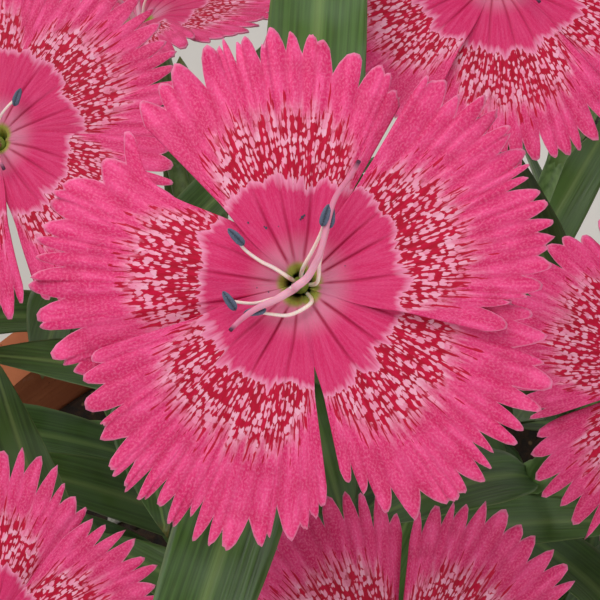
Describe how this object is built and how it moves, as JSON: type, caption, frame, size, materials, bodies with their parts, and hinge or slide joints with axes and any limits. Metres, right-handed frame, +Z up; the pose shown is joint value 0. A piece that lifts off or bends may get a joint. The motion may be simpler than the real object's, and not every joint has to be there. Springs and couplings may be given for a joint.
{
  "type": "potted dianthus plant",
  "caption": "Bedding dianthus with fringed, ringed pink blooms over narrow green leaves, growing in soil in a plain round clay pot.",
  "frame": {"origin": "centre of the flat underside of the pot", "axes": "+Z up the pot's axis, -Y towards the viewer, the side that the front bloom faces"},
  "size_m": [0.1659, 0.1597, 0.2422],
  "materials": {
    "clay": "fired, unglazed",
    "soil": "damp crumb",
    "leaf": "satin",
    "petal": "velvety",
    "stamen": "satin"
  },
  "bodies": {
    "root": {"pot": "clay", "soil": "soil", "leafy_stem_01": "leaf", "leafy_stem_02": "leaf", "leafy_stem_03": "leaf", "leafy_stem_04": "leaf", "leafy_stem_05": "leaf", "leafy_stem_06": "leaf", "leafy_stem_07": "leaf", "leafy_stem_08": "leaf", "leafy_stem_09": "leaf", "leafy_stem_10": "leaf", "leafy_stem_11": "leaf", "leafy_stem_12": "leaf", "petals_01": "petal", "petals_02": "petal", "petals_03": "petal", "petals_04": "petal", "petals_05": "petal", "petals_06": "petal", "petals_07": "petal", "petals_08": "petal", "petals_09": "petal", "petals_10": "petal", "petals_11": "petal", "petals_12": "petal", "stamens_01": "stamen", "stamens_02": "stamen", "stamens_03": "stamen", "stamens_04": "stamen", "stamens_05": "stamen", "stamens_06": "stamen", "stamens_07": "stamen", "stamens_08": "stamen", "stamens_09": "stamen", "stamens_10": "stamen", "stamens_11": "stamen", "stamens_12": "stamen"}
  },
  "joints": []
}
